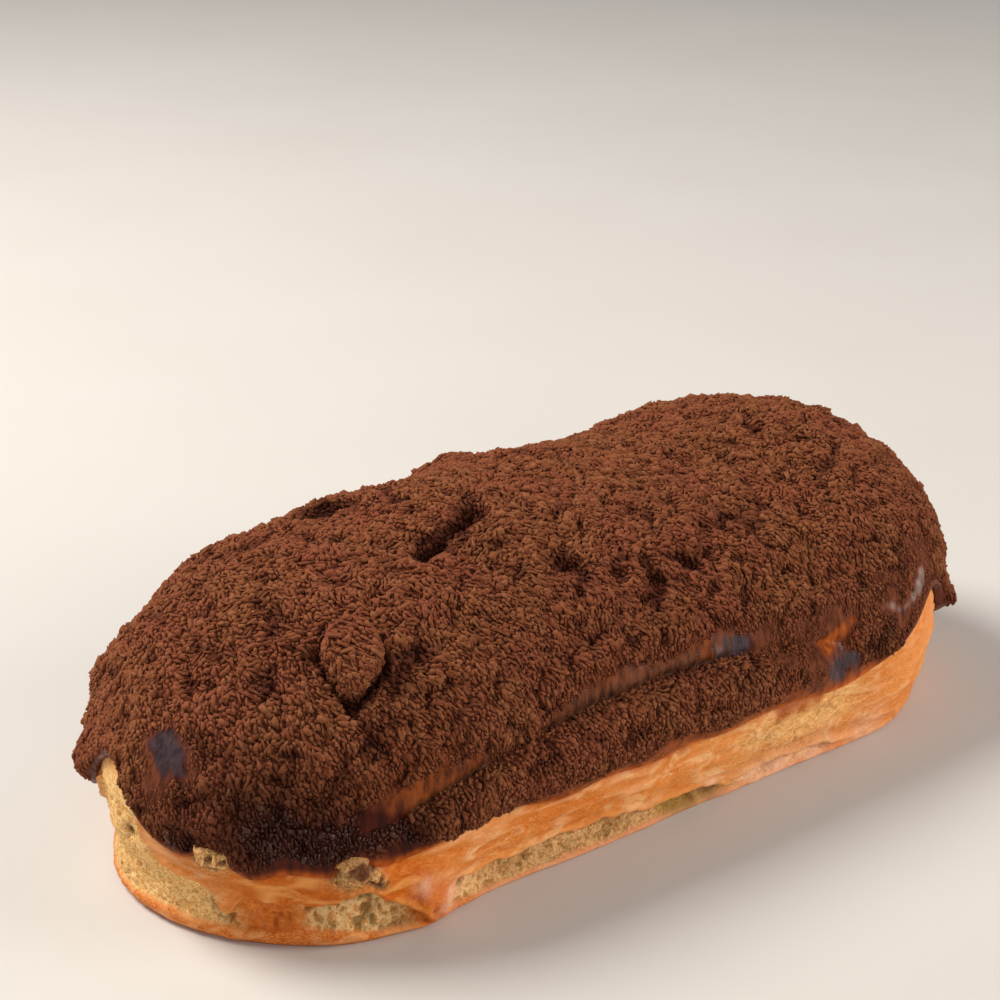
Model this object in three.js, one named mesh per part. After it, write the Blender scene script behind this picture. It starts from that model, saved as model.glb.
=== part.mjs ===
// An eclair: a baked choux shell, and over it a cap of chocolate icing under a thick coat of cocoa crumbs.
// Millimetres. +X runs along the eclair, +Z is up, and the origin is the middle of its flat underside.
import * as THREE from "three";
import { mergeVertices } from "three/addons/utils/BufferGeometryUtils.js";

// ---- Driving dimensions ----
const LENGTH = 140;
const WIDTH = 66.8;
const HEIGHT = 40.2; // of the top between its humps
const WIDEST_AT = 14.9; // height of the line where the sides bulge most
const COAT = 3.4; // icing and crumbs together, on top
const SIDE_COAT = 1; // the same on the sides, where the icing ran thin
const GAP = 0.3; // between the shell and the icing
const HIDDEN_SLACK = 0.3; // by which that gap grows from the rim up to the spine
const TAPER = 0.118; // how much wider the +X end is than the middle, as a share
const WAIST = 0.047; // how much narrower the middle is than the ends
const ROUNDNESS = 2.26; // exponent of the domed section: 2 is an ellipse, more is squarer
const OFF_CENTRE = { x: 0.6, y: -0.25 }; // of the whole, as its ends and sides swell unevenly

// ---- Forms of the whole loaf ----
// Broad humps along the top, as height over HEIGHT.
const HUMPS = [
  { at: -15, rise: 2.2, reach: 22 },
  { at: 32, rise: -1.6, reach: 14 },
  { at: 62, rise: 1.8, reach: 16 },
  { at: -82, rise: -3.5, reach: 26 },
];
// Places where the surface swells out or sinks in, all round the loaf.
const SWELLS = [
  { at: [-44, 20, 34], rise: 0.7, reach: 5 },
  { at: [-27, 16, 39], rise: 1, reach: 6 },
  { at: [-12, 19, 38], rise: -1.7, reach: 6 },
  { at: [-3.5, 18, 38], rise: 1.3, reach: 5 },
  { at: [19, 20, 35], rise: -1, reach: 7 },
  { at: [33, 21, 35], rise: 0.7, reach: 7 },
  { at: [-68, 8, 20], rise: -0.6, reach: 8 },
  { at: [66, -4, 22], rise: 1.5, reach: 14 },
  { at: [-30, -30, 5], rise: -1.1, reach: 10 },
  { at: [-52, -26, 1], rise: 0.9, reach: 9 },
  { at: [54, -30, 1], rise: -1.5, reach: 10 },
];

// ---- Forms of the icing ----
const RIM_HEIGHT = 12.2; // its lower edge, over the table
// Where the lower edge runs higher or lower, by places of the plan.
const RIM_SHIFTS = [
  { x: -71, y: 3, rise: 8.4, reach: 8 },
  { x: -66, y: 13, rise: -3, reach: 3 },
  { x: -66, y: -14.5, rise: 1.9, reach: 1.8 },
  { x: -62, y: -19, rise: -1.6, reach: 2.6 },
  { x: -53, y: -26, rise: -1.6, reach: 8 },
  { x: -51.5, y: -27, rise: 1.5, reach: 2 },
  { x: -38, y: -30, rise: 1.2, reach: 6 },
  { x: -21, y: -31, rise: -0.8, reach: 5 },
  { x: 6, y: -32, rise: -1.2, reach: 5 },
  { x: 51, y: -33, rise: 8, reach: 8.5 },
  { x: 59, y: -28.5, rise: -2, reach: 4 },
  { x: 62, y: 22, rise: -1.5, reach: 12 },
  { x: 12, y: 32, rise: 2, reach: 3 },
  { x: -20, y: 33, rise: 2.2, reach: 14 },
];
const RIM_EDGE = 0.9; // thickness of the icing at its lower edge
const RIM_ROUND = 2; // height over which the icing rounds out from its edge to its full form
const RIM_WAVES = [
  { size: 5.3, rise: 0.45 },
  { size: 2.6, rise: 0.3 },
];
// Rolls of icing that ran down the -Y side and set between the crease and the rim.
const ROLLS = [
  { from: -46, to: 28.5, fade: 6, bulge: 2.1 },
  { from: 35.5, to: 50, fade: 4, bulge: 1.2 },
];
const ROLL_FULLNESS = 0.75; // under 1 the roll's section is fuller than a sine
// The crease over the rolls arches along the side, and over it the icing hangs in a low skirt.
const CREASE = { from: -46, to: 40, fade: 8, height: 23.4, crown: -6, arch: 0.0035, sink: 0.7, half: 2 };
const SKIRT = { over: 4.4, half: 3, bulge: 0.8 };
// The flap of coat like a drop that stands up near the -X end, its tip down the slope.
const DROP = {
  x: -44.8,
  y: -18.1,
  length: 11.5,
  width: 7,
  rise: 3.2,
  tip: [-0.5, -0.866], // which way it points, in the plan
  narrowing: 0.45, // how much slimmer it gets by its tip
  steepness: 1.6, // of its edges
  flatShare: 0.6, // of its rise where it leaves the coat
};
// The trench across the top, and small pits in the coat, whose rise is their depth.
const TRENCH = { from: [-26.5, -8.6], to: [-13.5, -3.4], half: 2.4, depth: 2.8 };
const PITS = [
  { x: -28.6, y: 12, rise: 1.6, reach: 2 },
  { x: -24.6, y: 11.6, rise: 1.4, reach: 1.7 },
  { x: -10.8, y: -18.2, rise: 1.2, reach: 1.6 },
  { x: 7.3, y: -23.1, rise: 1.3, reach: 1.7 },
  { x: 0.8, y: -23.2, rise: 1, reach: 1.4 },
  { x: 41.1, y: -3.1, rise: 1, reach: 1.4 },
];
const UPPER_SIDE = 28; // the drop, the trench and the pits lie over this height
// Lumps of coat that hang over the shell at the two ends.
const CLODS = [
  { at: [-65.8, 12.3, 15.2], rise: 2.6, reach: 2.7 },
  { at: [58.5, -28.5, 14.6], rise: 2.2, reach: 2.9 },
  { at: [-62, 17, 25], rise: 0.8, reach: 2.4 },
];
const CRUMBS = [
  { size: 5.5, rise: 0.5 },
  { size: 3.4, rise: 0.28 },
];
const BARE_RIM = 0.8; // height of icing without crumbs along the rim
const BARE_CREASE = 0.85; // share of the crumbs that the crease lacks

// ---- Forms of the shell's side, from the table up: height, and how far it lies inside the widest line ----
const SIDE = [
  [0, 3],
  [0.7, 2.5],
  [1.7, 2.3],
  [3.2, 2.6],
  [4.9, 2.7],
  [6.3, 2],
  [7.8, 1.5],
  [10, 1.3],
  [12.2, SIDE_COAT + GAP],
  [WIDEST_AT, SIDE_COAT + GAP],
];
// Uneven swelling of the baked side, between the table and the icing.
const BLISTER = { size: 9, rise: 0.55, from: 0.4, to: 13.4, fade: 2.6 };
const FOLD = { x: -42.5, z: 4.6, reach: 3, rise: 1.3 }; // where the skin folds over the pale band

// ---- Mesh ----
const COAT_STEP = 2.05;
const SHELL_STEP = 3;
const HIDDEN_STEP = 5;
const FINE_FROM = 0.6; // share of the way down the dome where the hidden faces get as fine as the shell's side

const HALF_SPINE = (LENGTH - WIDTH) / 2;
const RADIUS = WIDTH / 2;

const bell = (distance) => Math.exp(-distance * distance);
const clamp = (value, low, high) => Math.min(high, Math.max(low, value));
const smooth = (value) => value * value * (3 - 2 * value);
// 0 outside from..to, 1 well inside, easing over fade.
const window = (x, { from, to, fade }) =>
  smooth(clamp((x - from) / fade, 0, 1)) * smooth(clamp((to - x) / fade, 0, 1));

// Repeatable noise from -1 to 1 that changes over a distance of about 1.
function lattice(i, j, k) {
  const wave = Math.sin(i * 127.1 + j * 311.7 + k * 74.7) * 43758.5453;
  return 2 * (wave - Math.floor(wave)) - 1;
}

function noise(x, y, z) {
  const [i, j, k] = [x, y, z].map(Math.floor);
  const [u, v, w] = [x - i, y - j, z - k].map(smooth);
  const along = (b, c) => lattice(i, b, c) * (1 - u) + lattice(i + 1, b, c) * u;
  const across = (c) => along(j, c) * (1 - v) + along(j + 1, c) * v;
  return across(k) * (1 - w) + across(k + 1) * w;
}

const roughness = (point, { size, rise }) =>
  rise * noise(point.x / size, point.y / size, point.z / size);

// ---- Plan: a place runs round the loaf from 0 to 4, one for each end and each straight side ----
function planAt(place) {
  const leg = Math.floor(place) % 4;
  const share = place - Math.floor(place);
  if (leg === 1) return { spine: HALF_SPINE * (1 - 2 * share), out: [0, 1] };
  if (leg === 3) return { spine: HALF_SPINE * (2 * share - 1), out: [0, -1] };
  const turn = (share + (leg === 0 ? -0.5 : 0.5)) * Math.PI;
  return { spine: leg === 0 ? HALF_SPINE : -HALF_SPINE, out: [Math.cos(turn), Math.sin(turn)] };
}

const waistAt = (x) => {
  const share = x / (LENGTH / 2);
  return 1 + TAPER * share - WAIST * (1 - share * share);
};

const topAt = (x) =>
  HUMPS.reduce((top, { at, rise, reach }) => top + rise * bell((x - at) / reach), HEIGHT);

// The sum of the bells in a list, at a point of the plan or, where they have a height too, in space.
const planBumps = (list, x, y) =>
  list.reduce((sum, bump) => sum + bump.rise * bell(Math.hypot(x - bump.x, y - bump.y) / bump.reach), 0);

const spaceBumps = (list, { x, y, z }) =>
  list.reduce((sum, { at, rise, reach }) => {
    const distance = Math.hypot(x - at[0], y - at[1], z - at[2]);
    return sum + rise * bell(distance / reach);
  }, 0);

// A point of a loaf: depth 0 is the spine at the top, 1 the widest line and 2 the table.
// inset is how far the side lies inside the finished one, and cover how far the top lies under it.
function loafPoint(place, depth, inset, cover) {
  const { spine, out } = planAt(place);
  const slope = (Math.min(depth, 1) * Math.PI) / 2;
  const across = depth < 1 ? Math.sin(slope) ** (2 / ROUNDNESS) : 1;
  const up = depth < 1 ? Math.cos(slope) ** (2 / ROUNDNESS) : 0;
  const reach = across * (RADIUS - inset);
  const x = spine + out[0] * reach;
  const y = out[1] * reach * waistAt(x);
  const rise = topAt(x) - cover - WIDEST_AT;
  const z = depth < 1 ? WIDEST_AT + up * rise : WIDEST_AT * (2 - depth);
  const lean = across ** (ROUNDNESS - 1) / RADIUS;
  const normal = new THREE.Vector3(out[0] * lean, out[1] * lean, up ** (ROUNDNESS - 1) / rise);
  const point = new THREE.Vector3(x, y, z);
  normal.normalize();
  return { point: point.addScaledVector(normal, spaceBumps(SWELLS, point)), normal };
}

// The depth at which the finished loaf is this high.
function depthAt(place, height) {
  if (height <= WIDEST_AT) return 2 - height / WIDEST_AT;
  const top = topAt(loafPoint(place, 1, 0, 0).point.x);
  const up = (height - WIDEST_AT) / (top - WIDEST_AT);
  return (Math.acos(up ** (ROUNDNESS / 2)) * 2) / Math.PI;
}

const creaseHeight = (x) => CREASE.height - CREASE.arch * (x - CREASE.crown) ** 2;

// How much of the crease there is at a point, 0 to 1.
const creaseShare = ({ x, y, z }) =>
  y < 0 ? window(x, CREASE) * bell((z - creaseHeight(x)) / CREASE.half) : 0;

// ---- The shell ----
function sideInset(height) {
  const next = SIDE.findIndex(([level]) => level >= height);
  if (next <= 0) return SIDE[0][1];
  const [[low, inset], [high, insetAbove]] = [SIDE[next - 1], SIDE[next]];
  return inset + (insetAbove - inset) * smooth((height - low) / (high - low));
}

function shellSwell(point, height) {
  const overTable = clamp((height - BLISTER.from) / BLISTER.fade, 0, 1);
  const underIcing = clamp((BLISTER.to - height) / BLISTER.fade, 0, 1);
  const offFold = Math.hypot(point.x - FOLD.x, height - FOLD.z) / FOLD.reach;
  const fold = point.y < 0 ? FOLD.rise * bell(offFold) : 0;
  return smooth(overTable) * smooth(underIcing) * (roughness(point, BLISTER) + fold);
}

function shellPoint(place, depth) {
  const height = WIDEST_AT * (2 - Math.max(depth, 1));
  const { point, normal } = loafPoint(place, depth, sideInset(height), COAT + GAP);
  const swell = depth > 1 ? shellSwell(point, height) : 0;
  return { point: point.addScaledVector(normal, swell), normal };
}

// ---- The icing ----
function rimHeight(place) {
  const { x, y } = loafPoint(place, 1, 0, 0).point;
  const [long, short] = RIM_WAVES;
  const farSide = y > 0 ? 2 : 0; // so that the two sides don't wave alike
  const longWave = long.rise * Math.sin(x / long.size + farSide);
  const shortWave = short.rise * Math.sin(x / short.size + y / long.size);
  return RIM_HEIGHT + longWave + shortWave + planBumps(RIM_SHIFTS, x, y);
}

function rollRise(point, rim) {
  if (point.y > 0) return 0;
  const share = clamp((point.z - rim) / (creaseHeight(point.x) - rim), 0, 1);
  const bulge = ROLLS.reduce((sum, roll) => sum + roll.bulge * window(point.x, roll), 0);
  return bulge * Math.sin(Math.PI * share) ** ROLL_FULLNESS;
}

function skirtRise({ x, y, z }) {
  const off = (z - creaseHeight(x) - SKIRT.over) / SKIRT.half;
  return y < 0 ? SKIRT.bulge * window(x, CREASE) * bell(off) : 0;
}

function dropRise({ x, y }) {
  const [tipX, tipY] = DROP.tip;
  const along = ((x - DROP.x) * tipX + (y - DROP.y) * tipY) / (DROP.length / 2);
  const sideways = ((y - DROP.y) * tipX - (x - DROP.x) * tipY) / (DROP.width / 2);
  const narrowed = sideways / (1 - DROP.narrowing * clamp(along, 0, 1));
  const inside = clamp((1 - along * along - narrowed * narrowed) * DROP.steepness, 0, 1);
  const towardTip = clamp(along + 1 - DROP.flatShare, 0, 1);
  return DROP.rise * smooth(inside) * (DROP.flatShare + (1 - DROP.flatShare) * towardTip);
}

function trenchDepth({ x, y }) {
  const [x1, y1] = TRENCH.from;
  const [x2, y2] = TRENCH.to;
  const length = Math.hypot(x2 - x1, y2 - y1);
  const [ux, uy] = [(x2 - x1) / length, (y2 - y1) / length];
  const along = clamp((x - x1) * ux + (y - y1) * uy, 0, length);
  return TRENCH.depth * bell(Math.hypot(x - x1 - ux * along, y - y1 - uy * along) / TRENCH.half);
}

// How thick the crumbs lie, 0 to 1: they stop short of the rim and of the crease.
function crumbCover(point, rim) {
  const overRim = smooth(clamp((point.z - rim - BARE_RIM) / BARE_RIM, 0, 1));
  return overRim * (1 - BARE_CREASE * creaseShare(point));
}

function coatRise(point, rim) {
  const onTop = dropRise(point) - trenchDepth(point) - planBumps(PITS, point.x, point.y);
  const onSide = rollRise(point, rim) + skirtRise(point) - CREASE.sink * creaseShare(point);
  const crumbs = CRUMBS.reduce((sum, layer) => sum + roughness(point, layer), 0);
  const forms = (point.z > UPPER_SIDE ? onTop : 0) + onSide + spaceBumps(CLODS, point);
  return forms + crumbs * crumbCover(point, rim);
}

function icingPoint(place, depth, rim) {
  const { point, normal } = loafPoint(place, depth, 0, 0);
  const overRim = smooth(clamp((point.z - rim) / RIM_ROUND, 0, 1));
  return point.addScaledVector(normal, coatRise(point, rim) * overRim);
}

// ---- Meshes: a solid is a run of closed rings, each one stitched to the next ----
// Places round the loaf about a step apart, on a ring that lies this far out from the spine.
function placesAt(reach, step) {
  const straight = Math.max(2, Math.round((2 * HALF_SPINE) / step));
  const round = Math.max(1, Math.round((Math.PI * reach) / step));
  return [round, straight, round, straight].flatMap((count, leg) =>
    Array.from({ length: count }, (_, i) => leg + i / count),
  );
}

// Triangles between two rings, taking the shorter diagonal each time.
function stitch(points, upper, lower) {
  const faces = [];
  const pointOf = (ring, k) => ring.first + (k % ring.count);
  let [i, j] = [0, 0];
  while (i < upper.count || j < lower.count) {
    const [a, b] = [pointOf(upper, i), pointOf(lower, j)];
    const [nextA, nextB] = [pointOf(upper, i + 1), pointOf(lower, j + 1)];
    const shorter = points[nextA].distanceTo(points[b]) <= points[a].distanceTo(points[nextB]);
    if (j === lower.count || (i < upper.count && shorter)) {
      faces.push(a, b, nextA);
      i += 1;
    } else {
      faces.push(a, b, nextB);
      j += 1;
    }
  }
  return faces;
}

// rings: { places, at(place) => Vector3 }, from one spine round the outside to the other.
function solidOf(rings) {
  const points = [];
  const placed = rings.map(({ places, at }) => {
    const first = points.length;
    points.push(...places.map(at));
    return { first, count: places.length };
  });
  const faces = placed.slice(1).flatMap((ring, k) => stitch(points, placed[k], ring));
  const geometry = new THREE.BufferGeometry().setFromPoints(points);
  geometry.setIndex(faces);
  const merged = mergeVertices(geometry, 1e-3);
  const corners = merged.index.array;
  const kept = [];
  for (let k = 0; k < corners.length; k += 3) {
    const [a, b, c] = corners.slice(k, k + 3);
    if (a !== b && b !== c && c !== a) kept.push(a, b, c);
  }
  merged.setIndex(kept);
  merged.computeVertexNormals();
  return merged;
}

const DOME_LENGTH = 47; // along the section, from the spine down to the widest line

// Shares of the dome's section in steps about this long, from one share up to but not reaching the other.
const shares = (from, to, step) => {
  const count = Math.round(((to - from) * DOME_LENGTH) / step);
  return Array.from({ length: count }, (_, i) => from + ((to - from) * i) / count);
};

// The rings between shell and icing: coarse over the top and finer down the sides.
const hiddenRings = [
  ...shares(0, FINE_FROM, HIDDEN_STEP).map((share) => ({ share, step: HIDDEN_STEP })),
  ...shares(FINE_FROM, 1, SHELL_STEP).map((share) => ({ share, step: SHELL_STEP })),
];

const EDGE_LIFT = 0.4; // how far over the rim the outside ends and the edge begins

const reachAt = (depth) => Math.sin((Math.min(depth, 1) * Math.PI) / 2) * RADIUS;

function shellGeometry() {
  const skin = (depth, step) => ({
    places: placesAt(reachAt(depth), step),
    at: (place) => shellPoint(place, depth).point,
  });
  const underIcing = hiddenRings.map(({ share, step }) => skin(share, step));
  const side = [...SIDE].reverse().map(([height]) => skin(2 - height / WIDEST_AT, SHELL_STEP));
  const underside = {
    places: placesAt(0, HIDDEN_STEP),
    at: (place) => new THREE.Vector3(planAt(place).spine, 0, 0),
  };
  return solidOf([...underIcing, ...side, underside]);
}

// A point this far off the shell, at a share of the way from the spine down to the rim.
function offShell(place, share, off) {
  const { point, normal } = shellPoint(place, share * depthAt(place, rimHeight(place)));
  return point.addScaledVector(normal, off);
}

function icingGeometry() {
  const outside = [...shares(0, 1, COAT_STEP), 1].map((share) => ({
    places: placesAt(reachAt(share), COAT_STEP),
    at: (place) => {
      const rim = rimHeight(place);
      return icingPoint(place, share * depthAt(place, rim + EDGE_LIFT), rim);
    },
  }));
  const edge = [RIM_EDGE / 2, 0].map((out) => ({
    places: placesAt(RADIUS, COAT_STEP),
    at: (place) => offShell(place, 1, GAP + out),
  }));
  const inside = [...hiddenRings].reverse().map(({ share, step }) => ({
    places: placesAt(reachAt(share), step),
    at: (place) => offShell(place, share, GAP + HIDDEN_SLACK * (1 - share)),
  }));
  return solidOf([...outside, ...edge, ...inside]);
}

const materials = {
  choux: new THREE.MeshStandardMaterial({ color: 0xcb8a45, roughness: 0.7, metalness: 0 }),
  icing: new THREE.MeshStandardMaterial({ color: 0x5b3324, roughness: 0.85, metalness: 0 }),
};

function piece(name, geometry, material) {
  const mesh = new THREE.Mesh(geometry, material);
  mesh.name = name;
  return mesh;
}

const eclair = new THREE.Group();
eclair.position.set(-OFF_CENTRE.x, -OFF_CENTRE.y, 0);
eclair.add(piece("choux_shell", shellGeometry(), materials.choux));
eclair.add(piece("chocolate_icing", icingGeometry(), materials.icing));

export default eclair;
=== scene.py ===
"""The looks of an eclair: a baked choux shell under chocolate icing, thickly coated with cocoa crumbs.

Sizes are in millimetres and are turned into metres when a mesh is made. +X runs along the eclair, +Z is up.
The forms of the loaf repeat those of the solids, and finer relief, crumbs and finishes are added to them.
"""

from itertools import combinations

import bpy
import numpy as np
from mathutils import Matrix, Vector
from mathutils.kdtree import KDTree


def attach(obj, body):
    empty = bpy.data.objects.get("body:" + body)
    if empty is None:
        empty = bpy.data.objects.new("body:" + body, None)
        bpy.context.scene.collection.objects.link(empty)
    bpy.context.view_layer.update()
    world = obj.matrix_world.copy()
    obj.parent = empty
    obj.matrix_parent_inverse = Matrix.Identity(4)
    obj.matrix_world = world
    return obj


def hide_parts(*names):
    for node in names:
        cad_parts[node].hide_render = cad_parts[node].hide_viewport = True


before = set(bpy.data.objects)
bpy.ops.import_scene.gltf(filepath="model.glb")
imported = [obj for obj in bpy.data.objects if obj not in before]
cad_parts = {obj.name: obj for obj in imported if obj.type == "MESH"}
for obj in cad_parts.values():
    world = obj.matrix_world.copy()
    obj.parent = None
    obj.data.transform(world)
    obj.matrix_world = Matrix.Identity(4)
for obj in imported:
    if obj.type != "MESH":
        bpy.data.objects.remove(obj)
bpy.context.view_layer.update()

MM = 0.001

# ---- Driving dimensions, as in the solids ----
LENGTH = 140
WIDTH = 66.8
HEIGHT = 40.2
WIDEST_AT = 14.9
COAT = 3.4
SIDE_COAT = 1
GAP = 0.3
TAPER = 0.118
WAIST = 0.047
ROUNDNESS = 2.26
OFF_CENTRE = np.array([0.6, -0.25, 0])
HALF_SPINE = (LENGTH - WIDTH) / 2
RADIUS = WIDTH / 2
DOME_LENGTH = 47

# Broad humps along the top: where, rise, reach.
HUMPS = [(-15, 2.2, 22), (32, -1.6, 14), (62, 1.8, 16), (-82, -3.5, 26)]
# Swellings all round the loaf: where, rise, reach.
SWELLS = [
    ((-44, 20, 34), 0.7, 5), ((-27, 16, 39), 1, 6), ((-12, 19, 38), -1.7, 6),
    ((-3.5, 18, 38), 1.3, 5), ((19, 20, 35), -1, 7), ((33, 21, 35), 0.7, 7), ((-68, 8, 20), -0.6, 8),
    ((66, -4, 22), 1.5, 14), ((-30, -30, 5), -1.1, 10), ((-52, -26, 1), 0.9, 9),
    ((54, -30, 1), -1.5, 10),
]

# ---- The icing's forms, as in the solids ----
RIM_HEIGHT = 12.2
# Where the lower edge runs higher or lower: x, y, rise, reach.
RIM_SHIFTS = [
    (-71, 3, 8.4, 8), (-66, 13, -3, 3), (-66, -14.5, 1.9, 1.8), (-62, -19, -1.6, 2.6),
    (-53, -26, -1.6, 8), (-51.5, -27, 1.5, 2), (-38, -30, 1.2, 6), (-21, -31, -0.8, 5),
    (6, -32, -1.2, 5), (51, -33, 8, 8.5), (59, -28.5, -2, 4), (62, 22, -1.5, 12), (12, 32, 2, 3),
    (-20, 33, 2.2, 14),
]
ROLLS = [(-46, 28.5, 6, 2.1), (35.5, 50, 4, 1.2)]  # from, to, fade, bulge
ROLL_FULLNESS = 0.65
ROLL_TOP = 1.35  # over 1, the roll is fullest near its top
CREASE = {"span": (-50, 34, 7), "height": 23.4, "crown": -6, "arch": 0.0035, "sink": 0.75, "half": 0.8}
# The bare strip over the crease, and where it is taller or lower: x, rise, reach.
STRIP = {"span": (-53, 12, 4), "tall": 3.2}
STRIP_SHIFTS = [(-46, 1.2, 6), (-28, -1.6, 6), (-14, 0.8, 6), (4, 0.9, 5)]
SKIRT = {"over": 5.4, "half": 2.4, "bulge": 0.7}
DROP = {"x": -45.2, "y": -17.7, "length": 8.6, "width": 7.4, "rise": 3.2, "tip": (-0.6, -0.8)}
DROP_EDGE = {"narrowing": 0.5, "steepness": 3.6, "flat_share": 0.75, "moat": 2.6, "moat_half": 0.4}
TRENCH = {"start": (-25.6, -8.2), "end": (-15, -3.8), "half": 1.5, "depth": 2.5}
# Small pits: x, y, depth, reach.
PITS = [
    (-28.6, 12, 3, 2.1), (-24.6, 11.6, 2.8, 1.9), (-10.8, -18.2, 1.9, 1.5), (7.3, -23.1, 2, 1.6),
    (0.8, -23.2, 1.6, 1.4), (41.1, -3.1, 1.5, 1.4), (-4.6, -21.6, 1.1, 1.5), (16.5, -20.4, 1, 1.3),
    (-37.5, -21, 1.2, 1.6), (30.5, -8.2, 0.9, 1.4), (24, -1.6, 0.8, 1.6),
]
UPPER_SIDE = 28  # height over which the drop, the trench and the pits lie
# Lumps that hang over the shell: where, rise, reach.
CLODS = [((-65.8, 12.3, 15.2), 2.6, 2.7), ((58.5, -28.5, 14.6), 2.2, 2.9), ((-62, 17, 25), 0.8, 2.4)]
CRUMB_LUMPS = [(5.5, 0.45), (3, 0.35)]  # size, rise
GRAINS = [(3, 0.62), (1.5, 0.4)]  # size of the clumped crumbs, rise

# ---- The shell's forms ----
# Height, and how far the side lies inside the widest line, as in the solids.
SIDE = [(0, 3), (0.7, 2.5), (1.7, 2.3), (3.2, 2.6), (4.9, 2.7), (6.3, 2), (7.8, 1.5), (10, 1.3), (15, 1.3)]
BLISTER = {"size": 9, "rise": 0.55, "span": (0.4, 13.4, 2.6)}
FOLDS = [(0.16, (8, 8, 1)), (0.13, (4, 4, 0.8)), (0.1, (2.4, 2.4, 0.9))]  # rise and size
SIDE_EDGE = 5.6  # height in SIDE where the skin ends over the pale band
SKIN_EDGE = 4.9  # height where the smooth skin ends over the pale, porous band
# Where that edge runs higher or lower: x, y, rise, reach.
SKIN_SHIFTS = [
    (-68.5, 3, 14, 9), (-65.5, -12.7, 3, 5), (-62.8, -14.2, -8, 1.5), (-61, -17.3, 1.5, 3),
    (-57.5, -21.3, 1.6, 3.5), (-50.7, -26.2, 3.4, 3.4), (-41.2, -27.4, -5.4, 2.4), (-4, -29, -1.2, 6),
    (9, -30, -2.7, 7), (21, -31, -1.3, 6), (36, -31.5, -3.6, 11), (56, -22, -4.2, 17),
    (66, 6, -3.6, 18),
]
LIP = 1  # height of the lip round the bottom
LIP_SHIFTS = [(-67, -6, 1.4, 10), (-57, -21.5, 1.9, 8), (-40, 28, 0.8, 12), (30, 32, 1, 14)]

rng = np.random.default_rng(7)


# ---- Small functions ----
def bell(distance):
    return np.exp(-distance * distance)


def smooth(value):
    value = np.clip(value, 0, 1)
    return value * value * (3 - 2 * value)


def window(x, low, high, fade):
    """0 outside low..high, 1 well inside, easing over fade."""
    return smooth((x - low) / fade) * smooth((high - x) / fade)


def lattice(i, j, k):
    wave = np.sin(i * 127.1 + j * 311.7 + k * 74.7) * 43758.5453
    return 2 * (wave - np.floor(wave)) - 1


# Turns even noise off the axes, so that its grid doesn't show.
ASKEW = np.array([(0.36, 0.48, -0.8), (-0.8, 0.6, 0), (0.48, 0.64, 0.6)])


def noise(points, size):
    """Repeatable noise from -1 to 1. size is one number, or one for each axis."""
    places = points @ ASKEW / size if np.isscalar(size) else points / np.array(size, float)
    low = np.floor(places)
    u, v, w = smooth(places - low).T
    i, j, k = low.T

    def along(b, c):
        return lattice(i, b, c) * (1 - u) + lattice(i + 1, b, c) * u

    def across(c):
        return along(j, c) * (1 - v) + along(j + 1, c) * v

    return across(k) * (1 - w) + across(k + 1) * w


def cells(points, size):
    """Distance to the nearest jittered centre, in cell sizes, and that cell's own number, 0 to 1."""
    places = points / size
    base = np.floor(places)
    nearest = np.full(len(points), np.inf)
    number = np.zeros(len(points))
    for offset in np.ndindex(3, 3, 3):
        cell = base + offset - 1
        i, j, k = cell.T
        jitter = np.stack([lattice(i, j, k), lattice(j, k, i + 9), lattice(k + 5, i, j)], 1)
        distance = np.linalg.norm(cell + 0.5 + 0.45 * jitter - places, axis=1)
        closer = distance < nearest
        nearest[closer] = distance[closer]
        number[closer] = (0.5 + 0.5 * lattice(i, j + 3, k + 7))[closer]
    return nearest, number


def drift(points, size):
    """Noise for each axis."""
    return np.stack([noise(points + shift, size) for shift in (0, 40, 80)], 1)


def shaken(points, far, size):
    """The points, moved by up to this far by noise."""
    return points + far * noise(points, size)[:, None]


def line_bumps(bumps, x):
    return sum(rise * bell((x - at) / reach) for at, rise, reach in bumps)


def plan_bumps(bumps, points):
    x, y = points[:, 0], points[:, 1]
    return sum(rise * bell(np.hypot(x - at_x, y - at_y) / reach) for at_x, at_y, rise, reach in bumps)


def space_bumps(bumps, points):
    return sum(rise * bell(np.linalg.norm(points - at, axis=1) / reach) for at, rise, reach in bumps)


def space_share(bumps, points):
    return np.clip(space_bumps(bumps, points), 0, 1)


# ---- The loaf ----
# A place runs round it from 0 to 4. Depth is 0 on the spine, 1 at the widest line and 2 on the table.
def plan_at(place):
    leg = np.floor(place).astype(int) % 4
    share = place - np.floor(place)
    turn = (share + np.where(leg == 0, -0.5, 0.5)) * np.pi
    back = HALF_SPINE * (1 - 2 * share)
    spine = np.choose(leg, [HALF_SPINE, back, -HALF_SPINE, -back])
    out_x = np.where(leg % 2 == 0, np.cos(turn), 0)
    out_y = np.choose(leg, [np.sin(turn), 1, np.sin(turn), -1])
    return spine, out_x, out_y


def top_at(x):
    return HEIGHT + line_bumps(HUMPS, x)


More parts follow.
